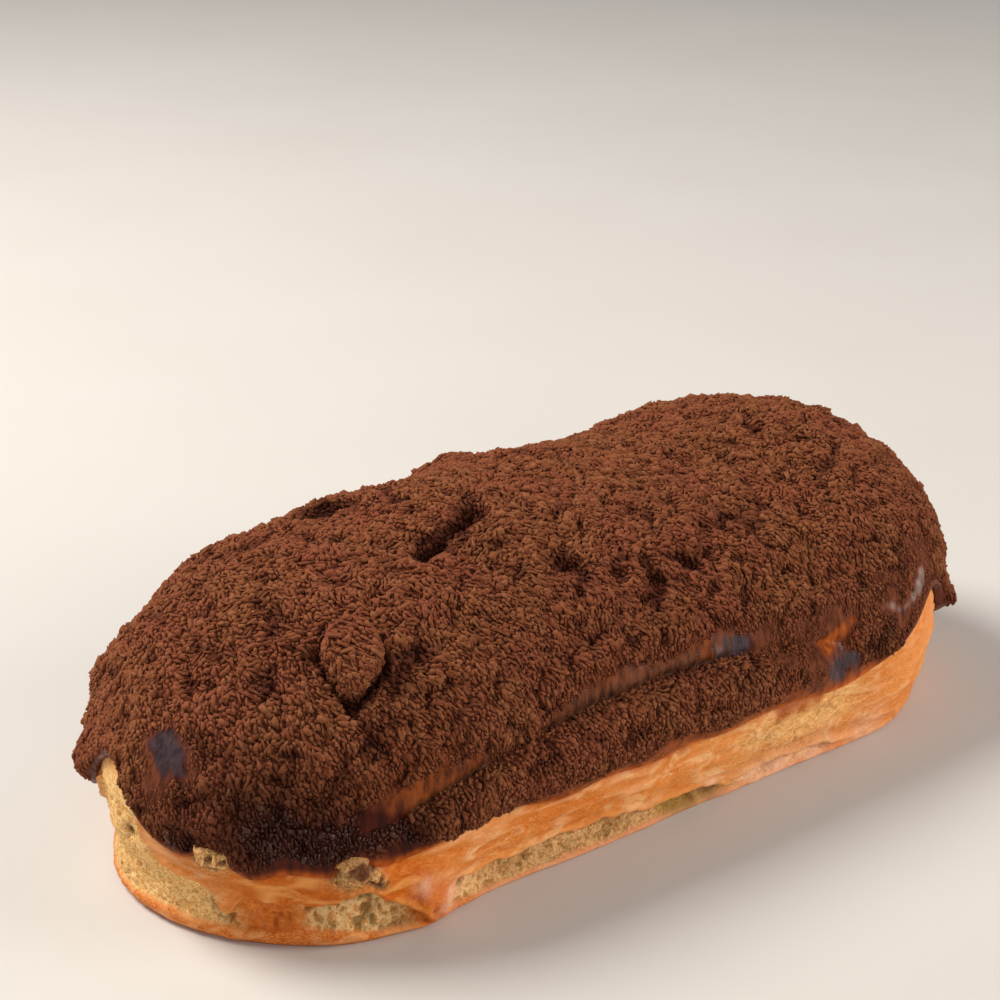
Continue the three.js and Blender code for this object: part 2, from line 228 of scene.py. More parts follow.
def loaf_point(place, depth, inset, cover):
    """Points and normals of a loaf with its side this far inside the finished one, its top this far under."""
    spine, out_x, out_y = plan_at(place)
    slope = np.minimum(depth, 1) * np.pi / 2
    across = np.where(depth < 1, np.sin(slope) ** (2 / ROUNDNESS), 1)
    up = np.where(depth < 1, np.maximum(np.cos(slope), 0) ** (2 / ROUNDNESS), 0)
    reach = across * (RADIUS - inset)
    x = spine + out_x * reach
    share = x / (LENGTH / 2)
    y = out_y * reach * (1 + TAPER * share - WAIST * (1 - share * share))
    rise = top_at(x) - cover - WIDEST_AT
    z = np.where(depth < 1, WIDEST_AT + up * rise, WIDEST_AT * (2 - depth))
    lean = across ** (ROUNDNESS - 1) / RADIUS
    normals = np.stack([out_x * lean, out_y * lean, up ** (ROUNDNESS - 1) / rise], 1)
    normals /= np.linalg.norm(normals, axis=1, keepdims=True)
    points = np.stack([x, y, z], 1)
    return points + normals * space_bumps(SWELLS, points)[:, None], normals


def widest_point(place):
    return loaf_point(place, np.ones(len(place)), 0, 0)[0]


def depth_at(place, height):
    top = top_at(widest_point(place)[:, 0])
    up = np.clip((height - WIDEST_AT) / (top - WIDEST_AT), 0, 1)
    return np.where(height <= WIDEST_AT, 2 - height / WIDEST_AT, np.arccos(up ** (ROUNDNESS / 2)) * 2 / np.pi)


# ---- The icing ----
def rim_height(place):
    points = widest_point(place)
    x, y, _ = points.T
    waves = 0.45 * np.sin(x / 5.3 + np.where(y > 0, 2, 0)) + 0.3 * np.sin(x / 2.6 + y / 5.3)
    return RIM_HEIGHT + waves + plan_bumps(RIM_SHIFTS, points)


def crease_height(x):
    return CREASE["height"] - CREASE["arch"] * (x - CREASE["crown"]) ** 2


def crease_share(points):
    x, y, z = points.T
    off = (z - crease_height(x)) / CREASE["half"]
    return np.where(y < 0, window(x, *CREASE["span"]) * bell(off), 0)


def side_rise(points, rim):
    """How far the rolls stand out between the rim and the crease, and the skirt over the crease."""
    x, y, z = points.T
    crease = crease_height(x)
    share = np.clip((z - rim) / (crease - rim), 0, 1)
    bulge = sum(rise * window(x, low, high, fade) for low, high, fade, rise in ROLLS)
    roll = bulge * np.sin(np.pi * share**ROLL_TOP) ** ROLL_FULLNESS
    skirt = SKIRT["bulge"] * window(x, *CREASE["span"]) * bell((z - crease - SKIRT["over"]) / SKIRT["half"])
    return np.where(y < 0, roll + skirt, 0)


def drop_rise(points):
    """How far the drop stands out, and how deep the dip round it is."""
    x, y, _ = points.T
    tip_x, tip_y = DROP["tip"]
    along = ((x - DROP["x"]) * tip_x + (y - DROP["y"]) * tip_y) / (DROP["length"] / 2)
    sideways = ((y - DROP["y"]) * tip_x - (x - DROP["x"]) * tip_y) / (DROP["width"] / 2)
    narrowed = sideways / (1 - DROP_EDGE["narrowing"] * np.clip(along, 0, 1))
    within = 1 - along**2 - narrowed**2
    flat = DROP_EDGE["flat_share"]
    slope = flat + (1 - flat) * np.clip(along + 1 - flat, 0, 1)
    drop = DROP["rise"] * smooth(within * DROP_EDGE["steepness"]) * slope
    half = DROP_EDGE["moat_half"]
    moat = DROP_EDGE["moat"] * bell((within + half) / half) * smooth(0.65 + 0.1 * sideways + 0.5 * along)
    return drop, moat


def trench_depth(points):
    start, end = np.array(TRENCH["start"]), np.array(TRENCH["end"])
    length = np.linalg.norm(end - start)
    way = (end - start) / length
    off = points[:, :2] - start
    along = np.clip(off @ way, 0, length)
    away = np.linalg.norm(off - along[:, None] * way, axis=1)
    depth = TRENCH["depth"] * (1 + 0.3 * noise(points, 2.2))
    return depth * bell(away / TRENCH["half"] * (1 + 0.45 * noise(points, 2.6)))


def top_forms(points):
    """On the upper side: how far the drop stands out, how calm the coat is by it, how deep hollows are."""
    on_top = points[:, 2] > UPPER_SIDE
    drop, moat = drop_rise(points)
    hollow = moat + trench_depth(points) + plan_bumps(PITS, points)
    calm = on_top * np.clip((drop + moat) / DROP["rise"], 0, 1)
    return on_top * drop, calm, on_top * hollow


# ---- Meshes: rings of points, each stitched to the next ----
def places_at(reach, step):
    """Places round the loaf about a step apart, on a ring that lies this far out from the spine."""
    straight = max(2, round(2 * HALF_SPINE / step))
    turning = max(1, round(np.pi * reach / step))
    legs = [turning, straight, turning, straight]
    return np.concatenate([leg + np.arange(count) / count for leg, count in enumerate(legs)])


def stitch(upper, lower, upper_first, lower_first):
    """Triangles between two rings of places, taking the nearer next place each time."""
    ahead = np.concatenate([np.append(upper[1:], 4), np.append(lower[1:], 4)])
    from_upper = np.arange(len(ahead)) < len(upper)
    order = np.argsort(ahead, kind="stable")
    steps_up = np.cumsum(from_upper[order])
    steps_down = np.cumsum(~from_upper[order])
    moved = from_upper[order]
    i = steps_up - moved
    j = steps_down - ~moved
    a = upper_first + i % len(upper)
    b = lower_first + j % len(lower)
    next_a = upper_first + (i + 1) % len(upper)
    next_b = lower_first + (j + 1) % len(lower)
    return np.stack([a, b, np.where(moved, next_a, next_b)], 1)


def faces_of(rings):
    firsts = np.cumsum([0] + [len(ring) for ring in rings])
    return np.concatenate([stitch(*pair) for pair in zip(rings, rings[1:], firsts, firsts[1:])])


def dome_rings(shares, step):
    """Rings over the dome, at shares of the way from the spine down to its edge."""
    return [places_at(np.sin(share * np.pi / 2) * RADIUS, step) for share in shares]


def spread(rings, shares):
    """All places of the rings in one list, and the share of each."""
    return np.concatenate(rings), np.repeat(shares, [len(ring) for ring in rings])


def merged(points, faces, step=1e-3):
    """Which points to keep so that none lies twice, and the faces between those, without empty ones."""
    _, kept, back = np.unique(np.round(points / step), axis=0, return_index=True, return_inverse=True)
    faces = back.ravel()[faces]
    a, b, c = faces.T
    return kept, faces[(a != b) & (b != c) & (c != a)]


def mesh_object(name, points, faces, attributes, material):
    """A smooth-shaded piece from points in the loaf's own millimetres."""
    mesh = bpy.data.meshes.new(name)
    mesh.vertices.add(len(points))
    mesh.vertices.foreach_set("co", ((points - OFF_CENTRE) * MM).astype(np.float32).ravel())
    mesh.loops.add(faces.size)
    mesh.loops.foreach_set("vertex_index", faces.astype(np.int32).ravel())
    mesh.polygons.add(len(faces))
    mesh.polygons.foreach_set("loop_start", np.arange(0, faces.size, 3, dtype=np.int32))
    mesh.update(calc_edges=True)
    mesh.validate()
    mesh.shade_smooth()
    for label, values in attributes.items():
        mesh.attributes.new(label, "FLOAT", "POINT").data.foreach_set("value", values.astype(np.float32))
    mesh.materials.append(material)
    piece = bpy.data.objects.new(name, mesh)
    bpy.context.scene.collection.objects.link(piece)
    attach(piece, "root")
    return piece


# ---- The icing's surface ----
# Places where the crumbs are thin: where, how much, reach.
# Bare glaze with a painted reflection: blue-grey patches that stand for a pale bluish light reflected in the
# glossy glaze; the crumbs thin out there.
BARE_WITH_PAINTED_REFLECTION = [
    ((-66.4, -7.2, 26.2), 1, 3.1), ((-66.6, -8.6, 23.6), 0.9, 2.7), ((6.2, -30.7, 23.4), 0.8, 1.8),
    ((8.4, -30.6, 24.1), 1, 2.3), ((11.2, -31, 23.4), 0.9, 2.1), ((29.8, -33.8, 15.8), 1.2, 2.8),
    ((26.8, -33.6, 17), 1, 2.4), ((38.4, -33.9, 21.4), 0.8, 1.5), ((41.2, -33.9, 20.2), 0.9, 1.6),
]
# Painted highlights: whitish streaks and spots that stand for bright reflections on the glossy glaze; the
# crumbs thin out there too.
PAINTED_HIGHLIGHTS = [
    ((37.2, -33.7, 22.5), 0.6, 0.9), ((38.6, -33.9, 21.7), 0.7, 0.9), ((40.2, -33.8, 20.8), 0.6, 0.9),
    ((42, -33.6, 20.7), 0.6, 0.9), ((43.9, -33.3, 21.3), 0.9, 0.9), ((45.5, -32.8, 22.2), 1.3, 0.9),
    ((46.5, -32.4, 22.9), 1.3, 0.9), ((47.2, -32, 24.2), 0.8, 0.9), ((32.6, -33.8, 21.9), 0.4, 0.6),
    ((6.2, -30.6, 24.6), 0.5, 1), ((5.6, -30.4, 23.4), 0.3, 0.8), ((-9.8, -30.2, 24), 0.3, 0.9),
    ((-67.4, -3, 26.5), 0.35, 1),
]
AMBER_GLAZE = [
    ((-48, -27.2, 21), 0.5, 3.6), ((-43, -27.8, 23.2), 0.7, 3.4), ((-37, -29.4, 24.4), 0.55, 3),
    ((28.6, -33.2, 21), 0.8, 3), ((22, -33, 20), 0.5, 2), ((17, -32, 21.8), 0.45, 3),
    ((5, -29.8, 26.2), 0.6, 2.4),
]
ORANGE_GLAZE = [
    ((-40, -28.6, 23.8), 0.3, 1.6), ((23.6, -33.1, 19.5), 0.6, 1.2), ((25.4, -33.1, 19.9), 0.75, 1.4),
    ((27.3, -33.1, 20.2), 0.8, 1.4), ((29.2, -33.3, 21), 0.75, 1.4), ((31, -33.6, 22.3), 0.7, 1.3),
    ((32, -33.7, 23.8), 0.5, 1.2),
]
WET_GLAZE = [
    ((-57.1, -23.4, 14.3), 1, 4.5), ((-51.8, -26.5, 16.5), 1, 4.2), ((-46, -28.7, 15.5), 1, 3.4),
    ((-60, -21, 17), 0.5, 5), ((-67.6, -10.5, 15.2), 0.9, 3.2), ((-62, -19, 19), 0.6, 8),
    ((35.2, -34, 16.8), 0.8, 2), ((37.2, -34.3, 18.8), 0.7, 1.8),
]
# Where the crumbs stop short of the rim: where, how much higher up, reach.
RIM_SMEARS = [
    ((-21.5, -32, 13.5), 1.6, 4), ((-12.5, -32, 12.5), 1.4, 3), ((-3, -32.5, 13.5), 2.6, 5),
    ((9, -33, 13), 1.6, 4), ((18, -33.5, 13), 3, 5), ((25, -33, 12), 2.2, 5),
    ((33, -34, 12.8), 1.4, 3), ((-67.6, -10.5, 14), 0.7, 4.5), ((-57, -23, 12), 1.2, 7),
    ((-46, -28, 12), 1, 6),
]
DUSTED = [
    ((-69.5, -4, 24), 0.9, 4), ((-69, -6.5, 19), 0.7, 4), ((-66.6, -8, 25), 1.1, 4.4),
    ((47, -31, 24), 0.9, 5), ((41, -33.7, 21.6), 1.1, 3.2), ((45, -33, 22.4), 1.3, 3.2),
    ((47.6, -31.8, 24.6), 1.1, 3), ((52, -28, 27), 0.8, 5), ((34, -33, 25), 0.9, 4.5),
    ((40, -32.5, 25), 0.9, 4.5), ((22.5, -33.8, 16.4), 1.1, 3), ((13.5, -31.6, 23), 0.9, 2.6),
    ((17, -32, 22.4), 1.6, 3.1), ((22, -32.5, 22.5), 1.6, 3.1), ((27, -33, 23.5), 1.1, 3.1),
]


# How much each look thins the crumbs: at 1 and more the glaze lies bare.
THINNED = {"blue": 1.5, "amber": 0.7, "wet": 0.25, "dusted": 0.85, "strip": 1.25, "shine": 1, "orange": 1}
EDGE_ROUNDING = 1.7  # over this height the icing rounds in to its rim
RIM_REACH = 10  # the looks over_rim and under_rim are heights from the rim over this


def bare_strip(points, ragged):
    """How bare the strip over the crease is at each point, and how high up in it that lies, 0 to 1."""
    x, y, z = points.T
    over_crease = z - crease_height(x)
    tall = STRIP["tall"] + line_bumps(STRIP_SHIFTS, x)
    strip = np.where(y < 0, window(x, *STRIP["span"]), 0) * smooth((over_crease + 0.3) / 0.6)
    strip *= smooth((tall + 0.8 + 2.2 * ragged - over_crease) / 3)
    return strip, np.clip(over_crease / tall, 0, 1)


def icing_looks(points, rim):
    """What covers the icing at each point, and where highlights and a reflection are painted on it, each 0 to
    1.
    """
    x, y, z = points.T
    over_rim = z - rim
    ragged = 0.5 * noise(points, 1.6) + 0.5 * noise(points, 3.3)
    strayed = points + 1.5 * drift(points, 2.4) + 0.8 * drift(points, (0.8, 0.8, 2.4))
    strip, high_on_strip = bare_strip(points, ragged)
    looks = {
        "blue": space_share(BARE_WITH_PAINTED_REFLECTION, strayed),
        "amber": np.clip(space_bumps(AMBER_GLAZE, strayed) + strip * high_on_strip, 0, 1),
        "strip": strip,
        "wet": space_share(WET_GLAZE, strayed),
        "dusted": space_share(DUSTED, strayed),
        "shine": space_share(PAINTED_HIGHLIGHTS, points + 0.3 * (strayed - points)),
        "orange": space_share(ORANGE_GLAZE, points + 0.4 * (strayed - points)),
        "over_rim": np.clip(over_rim / RIM_REACH, 0, 1),
    }
    # Along the crease the bare glaze with its painted reflection stays over it, except near the +X end.
    looks["blue"] *= np.where(x < 20, smooth((z - crease_height(x) + 0.2) / 0.6), 1)
    looks["red"] = looks["wet"]
    thin = sum(share * looks[label] for label, share in THINNED.items())
    smeared = space_bumps(RIM_SMEARS, points)
    looks["rim_glow"] = np.clip(smeared / 1.4, 0, 1)
    bare_to = 1.2 - 0.7 * smooth((-60 - x) / 5) + 1.2 * ragged + smeared
    wet_rim = 0.6 * smooth((bare_to + 2.2 - over_rim) / 2.6) * (y < 0) * (1 - looks["rim_glow"])
    looks["wet"] = np.maximum(looks["wet"], wet_rim)
    looks["cover"] = smooth((over_rim - bare_to) / 0.7) * smooth(1.3 - thin + 0.6 * ragged)
    return looks


def clumps(points):
    """The relief of clumped crumbs."""
    relief = 0
    for size, rise in GRAINS:
        near, number = cells(shaken(points, 0.4 * size, 1.1 * size), size)
        dome = np.sqrt(np.clip(1 - (near / 0.75) ** 2, 0, 1)) - 0.75
        relief = relief + rise * (dome + 0.5 * (number - 0.5))
    return relief


def icing_surface(place, share):
    """Points of the icing, at shares of the way from the spine down to the rim, and their looks."""
    rim = rim_height(place)
    points, normals = loaf_point(place, share * depth_at(place, rim), 0, 0)
    looks = icing_looks(points, rim)
    cover = looks["cover"]
    drop, calm, hollow = top_forms(points)
    forms = drop - hollow + side_rise(points, rim) + space_bumps(CLODS, points)
    forms -= CREASE["sink"] * crease_share(points)
    even = 1 - 0.7 * calm
    lumps = even * sum(rise * noise(points, size) for size, rise in CRUMB_LUMPS)
    grains = even * clumps(points)
    # low grows deep in the crumb relief and in hollows, less on the drop; the finishes darken low places with
    # it as painted shade, and fewer crumbs are sown there.
    looks["low"] = np.clip(0.4 - 0.8 * grains + 0.45 * hollow - 0.12 * drop, 0, 1)
    looks["sown"] = cover * (1 - 0.8 * smooth((looks["low"] - 0.6) / 0.35))
    glaze = 0.12 * noise(points, (1.1, 1.1, 4)) + 0.08 * noise(points, 2.3)
    fine = cover * (lumps + grains - 0.2) + (1 - cover) * (glaze - 0.35)
    over_rim = points[:, 2] - rim
    rounded = np.sqrt(np.clip(1 - (1 - np.clip(over_rim / EDGE_ROUNDING, 0, 1)) ** 2, 0, 1))
    on_side = smooth((30 - points[:, 2]) / 8)
    offset = (forms + fine) * smooth(over_rim / 2) - on_side * (1 - rounded) * (SIDE_COAT + 0.1)
    return points + normals * offset[:, None], looks


ICING_STEP = 0.4
HIDDEN_STEP = 3
HIDDEN_RINGS = 14


def make_icing(material):
    """The icing: from the spine down its outside to the rim, and up again inside over the shell."""
    shares = np.linspace(0, 1, round(DOME_LENGTH * 1.06 / ICING_STEP) + 1)
    outer = dome_rings(shares, ICING_STEP)
    points, looks = icing_surface(*spread(outer, shares))
    inner_shares = np.linspace(1, 0, HIDDEN_RINGS)
    inner = dome_rings(inner_shares, HIDDEN_STEP)
    place, share = spread(inner, inner_shares)
    depth = share * depth_at(place, rim_height(place) + 0.6)
    inside, normals = loaf_point(place, depth, SIDE_COAT + GAP, COAT + GAP)
    points = np.concatenate([points, inside + normals * 0.05])
    kept, faces = merged(points, faces_of(outer + inner))
    hidden = {label: np.full(len(inside), float(label in ("cover", "over_rim"))) for label in looks}
    looks = {label: np.append(values, hidden[label])[kept] for label, values in looks.items()}
    return mesh_object("icing_coat", points[kept], faces, looks, material)


# ---- The shell's surface ----
# Forms and marks of the skin and the band: where, how much, reach.
BUBBLES = [
    ((-65.6, -14.6, 13.9), 2.6, 2.2), ((-64.6, -16.1, 13.2), 1.8, 1.6),
    ((-52.3, -25.8, 11.6), 2.4, 2.1), ((-50.6, -26.3, 12), 1.7, 1.4),
    ((-49.2, -26.5, 10.4), 1.5, 0.9), ((-48.3, -26.8, 9.2), 1.2, 0.8),
]
HOLES = [
    ((-65.2, -13.6, 12.2), 1.1, 0.55), ((-64.4, -16.2, 13.4), 0.9, 0.5),
    ((-64.9, -15.8, 14.8), 0.9, 0.6), ((-65.3, -14.8, 14.3), 1, 0.5), ((-50.9, -26.1, 12), 2, 0.95),
    ((-48.9, -26.6, 9.6), 1, 0.55), ((-52.4, -25.8, 10.6), 0.6, 0.45), ((-48.3, -27, 8.7), 0.7, 0.45),
    ((-68.6, 0.2, 11.3), 1, 0.7), ((-68.2, -3.4, 7.4), 0.5, 0.4), ((-66, -10.4, 6.3), 0.5, 0.35),
    ((-42.7, -28.6, 5.3), 0.5, 0.4),
]
TORN = [((-1, -29.5, 1.9), 1, 2), ((2.5, -29.6, 1.9), 1.3, 2.1), ((6.4, -29.9, 1.9), 1, 1.9)]
WHITE = [
    ((-38.6, -27.8, 3.3), 1.2, 2.1), ((-43.1, -28.3, 7), 0.9, 1.2), ((6, -30, 3.4), 0.8, 1.6),
    ((14.1, -30.3, 1.8), 0.8, 2.6), ((19.6, -30.6, 1.5), 1, 2.8), ((26.5, -31, 0.9), 0.8, 3.4),
    ((36.6, -31.7, 1.4), 0.7, 3.4),
]
PALE = [
    ((13, -31, 8.8), 0.8, 3), ((19, -31.4, 8.3), 1, 3.4), ((25, -32, 8.6), 1, 3.6),
    ((31, -32.7, 10), 0.9, 3.4),
]
# Icing that has run onto the skin.
SMEARED = [
    ((18, -31.7, 11.6), 0.9, 1.8), ((21.5, -32, 11.4), 1, 1.9), ((25, -32.4, 11.2), 0.9, 1.6),
    ((0, -30.8, 11.6), 0.8, 1.5), ((-3, -30.8, 11.7), 0.7, 1.5),
]
CRACKED = [((18, -31.5, 8.6), 1, 5), ((26, -32, 8.4), 1, 4.5), ((40, 30, 8), 1, 7), ((-30, 28, 9), 0.8, 6)]
FLAP = {"x": -41.9, "width": 2.4, "bulge": 1.7}
# From, to, fade: where the band is browned and painted with shade, where the skin is, and where both are
# rosy.
BROWNED_AND_SHADED_BAND = (-63.5, -55, 2.5)
BROWNED_AND_SHADED_SKIN = (-64, -41, 3)
ROSY = (-36, 14, 5)


def shell_layers(place, height):
    """How high the skin's edge and the lip are, and how far in the side lies."""
    flat, _ = loaf_point(place, 2 - height / WIDEST_AT, SIDE_COAT + GAP, COAT + GAP)
    level = flat * (1, 1, 0)
    edge = SKIN_EDGE + plan_bumps(SKIN_SHIFTS, flat) + 0.5 * noise(level, 2.3) + 0.3 * noise(level, 1.1)
    edge = np.maximum(edge, 0.4)
    lip = LIP + plan_bumps(LIP_SHIFTS, flat) + 0.3 * noise(level, 3)
    warp = np.clip(edge, 1.5, 7)
    over = (height - warp) / (WIDEST_AT - warp)
    in_side = np.where(height < warp, height * SIDE_EDGE / warp, SIDE_EDGE + over * (WIDEST_AT - SIDE_EDGE))
    return edge, lip, np.interp(in_side, *zip(*SIDE))


def band_pores(points, strayed):
    """The pores of the band, finer in flecks at the -X end, and how much that end is in it."""
    pore = smooth((noise(strayed, (1.5, 1.5, 1.1)) + 0.6 * noise(strayed, 0.6) - 0.2) / 0.4)
    flecks = smooth((noise(strayed, (1, 1, 0.7)) + 0.7 * noise(strayed, 0.45) - 0.15) / 0.4)
    left_end = smooth((-63.8 - points[:, 0] + 0.6 * noise(points, 1.5)) / 1.2)
    return pore + left_end * (0.5 * flecks - pore), left_end


def skin_cracks(points):
    fissure = bell(noise(shaken(points, 0.8, 1.5), 1.3) / 0.07) * smooth(0.5 + 1.5 * noise(points, 2.5))
    return fissure * space_share(CRACKED, points)


def shell_surface(place, height):
    """Points of the shell's side, up to under the icing, and their looks."""
    rim = rim_height(place)
    edge, lip, inset = shell_layers(place, height)
    points, normals = loaf_point(place, 2 - height / WIDEST_AT, inset, COAT + GAP)
    x, y, _ = points.T
    front = y < 0
    strayed = shaken(points, 0.5, 0.9)
    skin = smooth((height - edge) / (0.4 + 1.1 * smooth((-60 - x) / 4)) + 0.5)
    on_lip = smooth((lip - height) / 0.6 + 0.5) * (1 - skin)
    band = (1 - skin) * (1 - on_lip)
    ridge = skin * bell((height - edge - 0.5) / 0.6)
    folds = sum(rise * noise(points, size) for rise, size in FOLDS)
    fold = skin * bell(noise(shaken(points, 0.8, 3.1), (8, 8, 1.4)) / 0.13)
    ribs = 0.2 * noise(points, (0.8, 0.8, 3.5))
    pore, left_end = band_pores(points, strayed)
    pore *= band
    cracks = skin * skin_cracks(points)
    flap = FLAP["bulge"] * bell((x - FLAP["x"]) / FLAP["width"]) * bell((height - 3.6) / 3.4) * front
    bubbles = space_bumps(BUBBLES, points)
    on_bubble = np.clip(bubbles, 0, 1)
    near, number = cells(points, 1)
    holes = space_bumps(HOLES, points) + 0.6 * on_bubble * smooth((0.55 - near) / 0.2) * (number > 0.55)
    torn = space_bumps(TORN, shaken(points, 0.5, 1.3))
    white = space_share(WHITE, strayed)
    offset = BLISTER["rise"] * window(height, *BLISTER["span"]) * noise(points, BLISTER["size"])
    offset += skin * (0.1 + folds) + 0.16 * fold + 0.5 * ridge - band * (0.35 - ribs) - 0.5 * pore
    offset += on_lip * (0.35 + 0.5 * ribs) + flap * (1 + 0.5 * noise(points, (0.7, 0.7, 5)))
    offset += 0.25 * white * noise(points, 1.2) - 0.25 * cracks - torn * (1 - 0.8 * skin)
    offset += bubbles * (1 + 0.3 * noise(points, 0.8)) - holes
    offset *= smooth(height / 0.8) * np.maximum(smooth((rim + 0.9 - height) / 0.9), on_bubble)
    looks = {
        "band": band,
        "lip": on_lip,
        "pore": np.clip(pore, 0, 1),
        "crack": cracks,
        "ridge": ridge,
        "fold": fold,
        "bubble": on_bubble,
        "under_rim": np.clip((rim - height) / RIM_REACH, -1, 1),
        "flap": np.clip(flap, 0, 1),
        "hole": np.clip(1.4 * holes, 0, 1),
        "torn": np.clip(torn * (1 - skin), 0, 1),
        "white": white,
        "pale": space_share(PALE, strayed),
        "smeared": space_share(SMEARED, strayed) * skin,
        # The -X front of the band and of the skin: browned there, and also painted with shade.
        "browned": front * window(x, *BROWNED_AND_SHADED_BAND),
        "front_left": front * window(x, *BROWNED_AND_SHADED_SKIN),
        "left_end": left_end * band,
        # Painted light: the +X end is painted a deeper orange to make up for the pale light that falls on it.
        "right_end": smooth((x - 34) / 14),
        "rosy": front * window(x, *ROSY),
        # back grows towards +Y and gives the back a plainer pastry colour; the deeper orange left on the -Y
        # side is painted light, standing for orange bounce light and shade.
        "back": smooth((y + 8) / 20),
    }
    return points + normals * offset[:, None], looks


SHELL_STEP = 0.32
FINE_TO = 17.5  # height up to which the side is finely divided, which is under the icing
BOTTOM_SHARES = [0.985, 0.93, 0.75, 0.5, 0.25, 0]  # shares of the way out from the spine


def make_shell(material):
    """The shell: a coarse dome under the icing, the fine side, and the bottom in to its middle."""
    heights = np.append(np.arange(FINE_TO, 0, -SHELL_STEP), 0)
    side = [places_at(RADIUS, SHELL_STEP)] * len(heights)
    place, height = spread(side, heights)
    side_points, looks = shell_surface(place, np.minimum(height, WIDEST_AT))
    high = height > WIDEST_AT
    raised = depth_at(place[high], height[high])
    side_points[high] = loaf_point(place[high], raised, SIDE_COAT + GAP, COAT + GAP)[0]
    dome_shares = np.linspace(0, 0.9, HIDDEN_RINGS)
    dome = dome_rings(dome_shares, HIDDEN_STEP)
    place, share = spread(dome, dome_shares)
    dome_points, _ = loaf_point(place, share * depth_at(place, FINE_TO), SIDE_COAT + GAP, COAT + GAP)
    bottom = [places_at(share * RADIUS, HIDDEN_STEP if share < 0.9 else 1) for share in BOTTOM_SHARES]
    place, share = spread(bottom, BOTTOM_SHARES)
    foot, _ = loaf_point(place, np.full(len(place), 2.0), SIDE[0][1], 0)
    spine = plan_at(place)[0]
    centre = np.stack([spine, 0 * spine, 0 * spine], 1)
    bottom_points = centre + (foot - centre) * share[:, None]
    points = np.concatenate([dome_points, side_points, bottom_points])
    kept, faces = merged(points, faces_of(dome + side + bottom))
    dome_look = np.zeros(len(dome_points))
    bottom_looks = {label: np.full(len(bottom_points), float(label == "lip")) for label in looks}
    looks = {
        label: np.concatenate([dome_look, values, bottom_looks[label]])[kept]
        for label, values in looks.items()
    }
    return mesh_object("baked_choux", points[kept], faces, looks, material)


# ---- Materials ----
def srgb(levels):
    """A colour as read off a screen, 0 to 255, as linear light."""
    shares = np.array(levels) / 255
    linear = np.where(shares <= 0.04045, shares / 12.92, ((shares + 0.055) / 1.055) ** 2.4)
    return (*linear, 1)


class Finish:
    """A material and its nodes. Most calls add a node and give back its output."""

    def __init__(self, name):
        self.material = bpy.data.materials.new(name)
        self.material.use_nodes = True
        self.tree = self.material.node_tree

    def put(self, node, socket, value):
        if isinstance(value, bpy.types.NodeSocket):
            self.tree.links.new(value, node.inputs[socket])
        else:
            node.inputs[socket].default_value = value

    def add(self, kind, inputs, output=0, **settings):
        node = self.tree.nodes.new("ShaderNode" + kind)
        for label, value in settings.items():
            setattr(node, label, value)
        for socket, value in inputs.items():
            self.put(node, socket, value)
        return node.outputs[output]

    def looks(self, labels):
        return [self.add("Attribute", {}, output="Fac", attribute_name=label) for label in labels.split()]

    def place(self, scale):
        """The point's coordinates in millimetres, with a scale for each axis."""
        coordinates = self.add("TexCoord", {}, output="Object")
        inputs = {0: coordinates, 1: [axis / MM for axis in scale]}
        return self.add("VectorMath", inputs, operation="MULTIPLY")

    def noise(self, size, detail=3, stretch=(1, 1, 1), distortion=0, output=0):
        inputs = {"Vector": self.place(stretch), "Scale": 1 / size}
        inputs |= {"Detail": detail, "Distortion": distortion}
        return self.add("TexNoise", inputs, output=output)

    def web(self, size, stretch=(1, 1, 1)):
        """0 on a web of thin lines, more inside its meshes."""
        places = {0: self.place(stretch), 1: self.noise(0.5, 1, output="Color")}
        inputs = {"Vector": self.add("VectorMath", places, operation="ADD"), "Scale": 1 / size}
        return self.add("TexVoronoi", inputs, feature="DISTANCE_TO_EDGE")

    def ramp(self, value, low, high, to_low=0, to_high=1):
        inputs = {"Value": value, "From Min": low, "From Max": high, "To Min": to_low, "To Max": to_high}
        return self.add("MapRange", inputs, interpolation_type="SMOOTHSTEP")

    def math(self, operation, a, b):
        return self.add("Math", {0: a, 1: b}, operation=operation, use_clamp=operation == "ADD")

    def times(self, a, b):
        return self.math("MULTIPLY", a, b)

    def mix(self, share, a, b):
        """Two colours mixed, each an output or three levels."""
        a, b = (srgb(tone) if isinstance(tone, tuple) else tone for tone in (a, b))
        return self.add("Mix", {0: share, 6: a, 7: b}, output=2, data_type="RGBA")

    def layers(self, colour, *layers):
        """A colour with others laid over it in turn, each given as its share and itself."""
        for share, tone in layers:
            colour = self.mix(share, colour, tone)
        return colour

    def bump(self, height, distance, strength=1):
        return self.add("Bump", {"Height": height, "Distance": distance * MM, "Strength": strength})

    def done(self, inputs):
        """The material, with these inputs of its shader."""
        for socket, value in inputs.items():
            self.put(self.tree.nodes["Principled BSDF"], socket, value)
        return self.material


def crumb_finish():
    finish = Finish("cocoa_crumbs")
    ramp, times = finish.ramp, finish.times
    tone, wet, low, foot, amber = finish.looks("tone wet low foot amber")
    grain = finish.noise(0.3)
    colour = finish.layers(
        finish.mix(tone, (124, 68, 40), (148, 94, 58)),
        (times(ramp(finish.noise(9, 2), 0.35, 0.65), 0.5), (140, 74, 52)),
        (ramp(grain, 0.35, 0.7, 0.3, 0), (108, 54, 34)),
        # Painted shade: crumbs darker where they lie low in the relief and in hollows.
        (ramp(low, 0.4, 0.95, 0, 0.8), (62, 22, 13)),
        # Painted shade: the lower part of each crumb darker.
        (ramp(foot, 0.15, 0.75, 0.5, 0), (66, 24, 14)),
        (times(amber, 0.7), (104, 46, 18)),
        (times(wet, 0.9), (44, 10, 4)),
    )
    inputs = {
        "Base Color": colour,
        "Roughness": ramp(wet, 0.3, 1, 0.92, 0.35),
        "Specular IOR Level": 0.12,
        "Coat Weight": ramp(wet, 0.75, 1, 0, 0.35),
        "Coat Roughness": 0.2,
        "Normal": finish.bump(grain, 0.1),
    }
    return finish.done(inputs)


